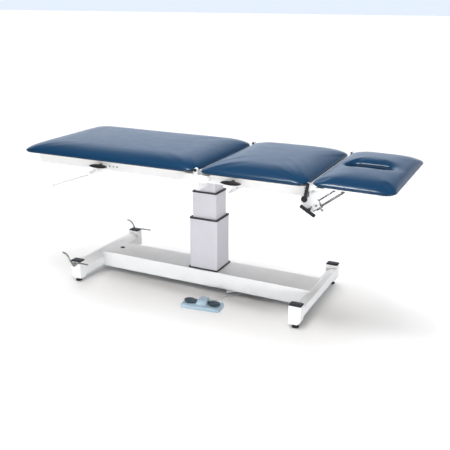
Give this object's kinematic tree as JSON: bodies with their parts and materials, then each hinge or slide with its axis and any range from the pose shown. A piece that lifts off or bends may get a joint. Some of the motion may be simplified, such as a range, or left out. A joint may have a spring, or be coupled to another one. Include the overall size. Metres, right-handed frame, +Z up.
{
  "type": "height-adjustable examination table",
  "caption": "Padded treatment table on a telescopic lift column, with hinged leg, back and head sections, gas springs, release levers and a floor switch.",
  "frame": {"origin": "on the floor, below the middle of the table's length and width", "axes": "+Z up, +X towards the head end, +Y towards the side away from the floor switch"},
  "size_m": [1.92, 0.7, 0.742],
  "materials": {
    "white_powder_coat": "satin",
    "column_grey_coat": "satin",
    "black_plastic": "satin",
    "black_rubber": "matte",
    "blue_vinyl": "satin",
    "plywood": "matte",
    "zinc_plate": "satin",
    "bright_steel": "satin",
    "black_steel": "satin",
    "cast_housing": "matte",
    "light_grey_plastic": "satin",
    "cable_grey": "satin",
    "switch_blue_plastic": "satin",
    "slate_rubber": "satin"
  },
  "bodies": {
    "base": {"base_frame": "white_powder_coat", "post_cap_foot_left": "black_plastic", "post_cap_foot_right": "black_plastic", "post_cap_head_left": "black_plastic", "post_cap_head_right": "black_plastic", "levelling_foot_foot_left": "black_rubber", "levelling_foot_foot_right": "black_rubber", "levelling_foot_head_left": "black_rubber", "levelling_foot_head_right": "black_rubber", "spine_plug": "black_plastic", "column_base_trim": "black_plastic", "column_outer_tube": "column_grey_coat", "column_outer_collar": "black_plastic", "lift_gear_motor": "cast_housing", "lower_lift_screw": "bright_steel", "control_box": "black_plastic", "cable_gland": "black_plastic", "control_socket": "light_grey_plastic", "floor_switch_cable": "cable_grey", "floor_switch_housing": "switch_blue_plastic"},
    "foot_lever_left": {"foot_lever_left": "zinc_plate"},
    "foot_lever_right": {"foot_lever_right": "zinc_plate"},
    "pedal_lower": {"floor_switch_pedal_lower": "slate_rubber"},
    "pedal_raise": {"floor_switch_pedal_raise": "slate_rubber"},
    "column_middle": {"column_middle_tube": "column_grey_coat", "column_middle_collar": "black_plastic", "lift_screw_sleeve": "bright_steel"},
    "carriage": {"column_inner_tube": "column_grey_coat", "carriage_frame": "white_powder_coat", "section_hinge_pin_left": "black_steel", "section_hinge_pin_right": "black_steel"},
    "leg_section": {"leg_frame": "white_powder_coat", "leg_board": "plywood", "leg_cushion": "blue_vinyl", "leg_cross_rod": "white_powder_coat"},
    "leg_release": {"leg_release_shaft": "white_powder_coat", "leg_release_paddle_left": "black_plastic", "leg_release_paddle_right": "black_plastic"},
    "leg_spring_cylinder": {"leg_gas_spring_cylinder": "black_steel"},
    "leg_spring_rod": {"leg_gas_spring_rod": "bright_steel"},
    "back_section": {"back_frame": "white_powder_coat", "back_board": "plywood", "back_cushion": "blue_vinyl", "back_cross_rod": "white_powder_coat", "bracket_tube_cap": "black_plastic", "head_hinge_strap_left": "black_steel", "head_hinge_strap_right": "black_steel"},
    "back_release": {"back_release_shaft": "white_powder_coat", "back_release_paddle_left": "black_plastic", "back_release_paddle_right": "black_plastic"},
    "back_spring_cylinder": {"back_gas_spring_cylinder": "black_steel"},
    "back_spring_rod": {"back_gas_spring_rod": "bright_steel"},
    "head_section": {"head_frame": "white_powder_coat", "head_board": "plywood", "head_cushion": "blue_vinyl"},
    "head_clamp": {"strut_clamp_block": "zinc_plate"},
    "head_strut": {"head_strut_tube": "zinc_plate", "head_strut_rod": "bright_steel"},
    "clamp_handle": {"clamp_handle": "black_plastic"}
  },
  "joints": [
    {"name": "lift_middle", "type": "slide", "parent": "base", "child": "column_middle", "axis": [0, 0, 1], "range_m": [-0.108, 0.1]},
    {"name": "lift_inner", "type": "slide", "parent": "column_middle", "child": "carriage", "axis": [0, 0, 1], "range_m": [-0.108, 0.1]},
    {"name": "leg_hinge", "type": "hinge", "parent": "carriage", "child": "leg_section", "pos_m": [0.055, 0, 0.707], "axis": [0, 1, 0], "range_deg": [0, 20]},
    {"name": "back_hinge", "type": "hinge", "parent": "carriage", "child": "back_section", "pos_m": [0.055, 0, 0.707], "axis": [0, -1, 0], "range_deg": [0, 55]},
    {"name": "leg_release_turn", "type": "hinge", "parent": "leg_section", "child": "leg_release", "pos_m": [-0.484, 0, 0.666], "axis": [0, -1, 0], "range_deg": [0, 12], "stiffness_Nm_per_rad": 6, "springref_deg": -20.05},
    {"name": "back_release_turn", "type": "hinge", "parent": "back_section", "child": "back_release", "pos_m": [0.234, 0, 0.667], "axis": [0, 1, 0], "range_deg": [0, 12], "stiffness_Nm_per_rad": 3, "springref_deg": -17.19},
    {"name": "leg_spring_pivot", "type": "hinge", "parent": "carriage", "child": "leg_spring_cylinder", "pos_m": [-0.146, 0, 0.595], "axis": [0, 1, 0], "range_deg": [0, 28]},
    {"name": "leg_spring_stroke", "type": "slide", "parent": "leg_spring_cylinder", "child": "leg_spring_rod", "axis": [-0.9973, 0, 0.073], "range_m": [0, 0.058]},
    {"name": "back_spring_pivot", "type": "hinge", "parent": "carriage", "child": "back_spring_cylinder", "pos_m": [0.056, 0, 0.586], "axis": [0, -1, 0], "range_deg": [0, 41.5]},
    {"name": "back_spring_stroke", "type": "slide", "parent": "back_spring_cylinder", "child": "back_spring_rod", "axis": [0.9825, 0, 0.186], "range_m": [0, 0.102]},
    {"name": "head_hinge", "type": "hinge", "parent": "back_section", "child": "head_section", "pos_m": [0.594, 0, 0.706], "axis": [0, -1, 0], "range_deg": [-24, 15]},
    {"name": "head_clamp_pivot", "type": "hinge", "parent": "back_section", "child": "head_clamp", "pos_m": [0.626, 0, 0.608], "axis": [0, -1, 0], "range_deg": [-17.5, 10.94]},
    {"name": "head_strut_slide", "type": "slide", "parent": "head_clamp", "child": "head_strut", "axis": [0.7926, 0, 0.6097], "range_m": [-0.0415, 0.02594]},
    {"name": "clamp_handle_turn", "type": "hinge", "parent": "back_section", "child": "clamp_handle", "pos_m": [0.599, -0.343, 0.59], "axis": [0, 1, 0], "continuous": true},
    {"name": "foot_lever_left_turn", "type": "hinge", "parent": "base", "child": "foot_lever_left", "pos_m": [-0.698, -0.31, 0.098], "axis": [0, -1, 0], "range_deg": [0, 35]},
    {"name": "foot_lever_right_turn", "type": "hinge", "parent": "base", "child": "foot_lever_right", "pos_m": [-0.698, 0.31, 0.098], "axis": [0, -1, 0], "range_deg": [0, 35]},
    {"name": "pedal_lower_press", "type": "hinge", "parent": "base", "child": "pedal_lower", "pos_m": [0.01026, -0.28386, 0.027], "axis": [0.9942, 0.108, 0], "range_deg": [0, 6], "stiffness_Nm_per_rad": 1, "springref_deg": -5.73},
    {"name": "pedal_raise_press", "type": "hinge", "parent": "base", "child": "pedal_raise", "pos_m": [0.09974, -0.27414, 0.027], "axis": [0.9942, 0.108, 0], "range_deg": [0, 6], "stiffness_Nm_per_rad": 1, "springref_deg": -5.73}
  ],
  "couplings": [
    {"joint": "lift_inner", "follows": "lift_middle", "ratio": 1},
    {"joint": "leg_spring_pivot", "follows": "leg_hinge", "ratio": 1.3856},
    {"joint": "leg_spring_stroke", "follows": "leg_hinge", "m_per_rad": 0.161},
    {"joint": "back_spring_pivot", "follows": "back_hinge", "ratio": 0.7469},
    {"joint": "back_spring_stroke", "follows": "back_hinge", "m_per_rad": 0.1052},
    {"joint": "head_clamp_pivot", "follows": "head_hinge", "ratio": 0.7294},
    {"joint": "head_strut_slide", "follows": "head_hinge", "m_per_rad": 0.0991}
  ]
}
